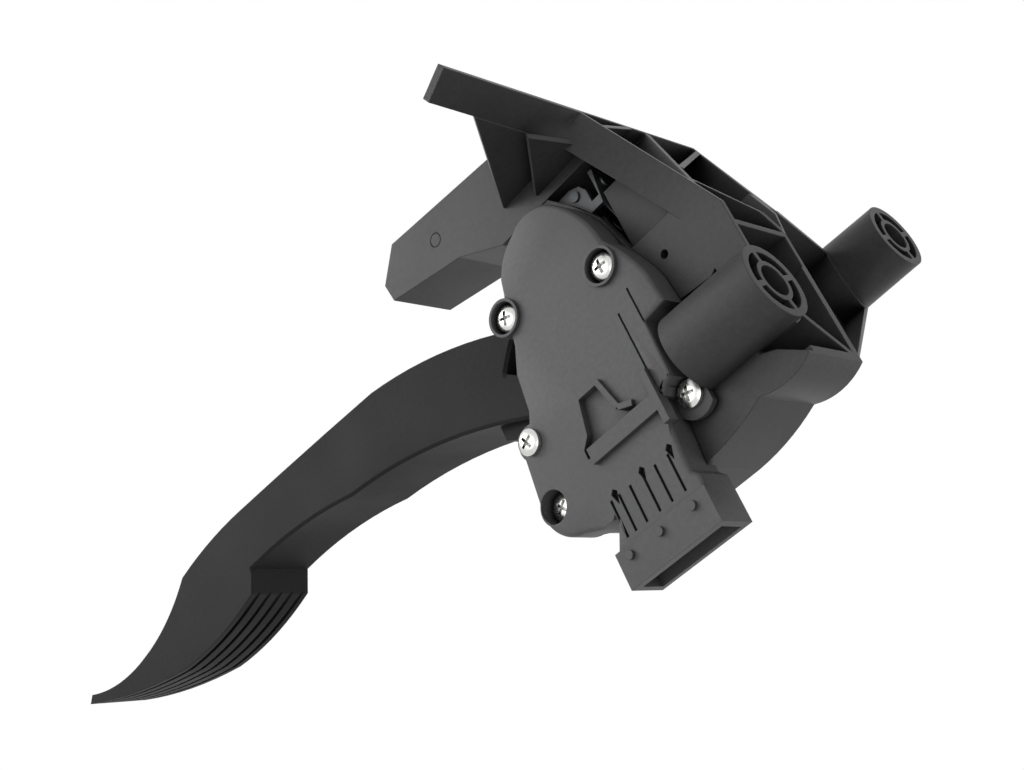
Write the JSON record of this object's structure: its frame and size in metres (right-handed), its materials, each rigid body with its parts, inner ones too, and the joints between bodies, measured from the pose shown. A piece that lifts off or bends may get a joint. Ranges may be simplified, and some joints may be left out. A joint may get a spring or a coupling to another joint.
{
  "type": "accelerator pedal",
  "caption": "hanging accelerator pedal on a ribbed moulded bracket with two tubular bolt feet, a full-throttle leg and a side position sensor with a connector inlet",
  "frame": {"origin": "centre of the seat of the near mounting tube, which is the mount mount_bore_near", "axes": "+Z out of the mounting tubes towards the bulkhead, +Y away from the driver, -X to the side with the sensor cover"},
  "size_m": [0.1453, 0.1374, 0.3152],
  "materials": {
    "bracket_plastic": "black glass-filled nylon, fine grain",
    "pedal_plastic": "black glass-filled nylon, satin",
    "cover_plastic": "dark grey filled plastic, matt",
    "gasket_rubber": "black rubber",
    "screw_steel": "bright zinc",
    "pin_steel": "ground steel",
    "spring_steel": "drawn spring steel",
    "plate_steel": "pressed sheet steel",
    "bush_plastic": "natural acetal",
    "magnet": "sintered ferrite",
    "board": "green glass-epoxy board",
    "terminal_metal": "tinned brass"
  },
  "bodies": {
    "housing": {"bracket": "bracket_plastic", "sensor_cover": "cover_plastic", "cover_gasket": "gasket_rubber", "cover_screw_a": "screw_steel", "cover_screw_b": "screw_steel", "cover_screw_c": "screw_steel", "cover_screw_d": "screw_steel", "cover_screw_e": "screw_steel", "bush_near": "bush_plastic", "bush_far": "bush_plastic", "outer_spring": "spring_steel", "inner_spring": "spring_steel", "seat_plate": "plate_steel", "seat_block": "bracket_plastic", "rivet_low": "plate_steel", "rivet_high": "plate_steel", "friction_shoe": "bush_plastic", "idle_bumper": "gasket_rubber", "sensor_board": "board", "terminal_1": "terminal_metal", "terminal_2": "terminal_metal", "terminal_3": "terminal_metal", "terminal_4": "terminal_metal", "terminal_5": "terminal_metal", "terminal_6": "terminal_metal"},
    "pedal": {"pedal_arm": "pedal_plastic", "pivot_shaft": "pin_steel", "shaft_clip": "spring_steel", "spring_cup": "bush_plastic", "sensor_rotor": "bush_plastic", "rotor_magnet": "magnet"}
  },
  "joints": [
    {"name": "pedal_pivot", "type": "hinge", "parent": "housing", "child": "pedal", "pos_m": [0.01325, 0.005, -0.05], "axis": [1, 0, 0], "range_deg": [0, 15], "stiffness_Nm_per_rad": 1.6, "springref_deg": -51.57, "deforming": ["outer_spring", "inner_spring"]}
  ]
}
